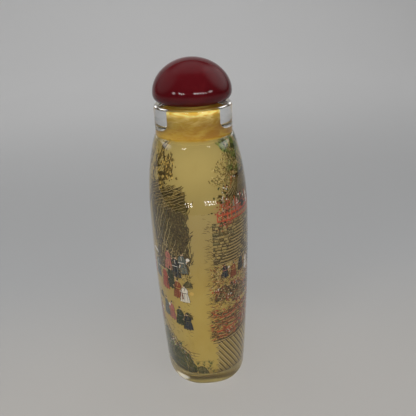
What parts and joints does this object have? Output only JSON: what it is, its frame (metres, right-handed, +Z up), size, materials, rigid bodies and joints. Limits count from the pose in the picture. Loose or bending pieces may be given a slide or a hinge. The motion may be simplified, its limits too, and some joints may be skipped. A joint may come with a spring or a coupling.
{
  "type": "snuff bottle",
  "caption": "Flattened clear glass snuff bottle with a hollow, inside-painted body, a round neck and a domed red stopper on a plug.",
  "frame": {"origin": "centre of the flat underside that the bottle stands on", "axes": "+Z up through the neck and the stopper; X along the body's width, from narrow side to narrow side; Y through its thickness, so the two painted faces look along +Y and -Y"},
  "size_m": [0.042, 0.026, 0.0866],
  "materials": {
    "clear_glass": "polished",
    "oxblood_gloss": "polished",
    "cork": "matte"
  },
  "bodies": {
    "root": {"glass_bottle": "clear_glass", "stopper_cap": "oxblood_gloss", "stopper_plug": "cork"}
  },
  "joints": []
}
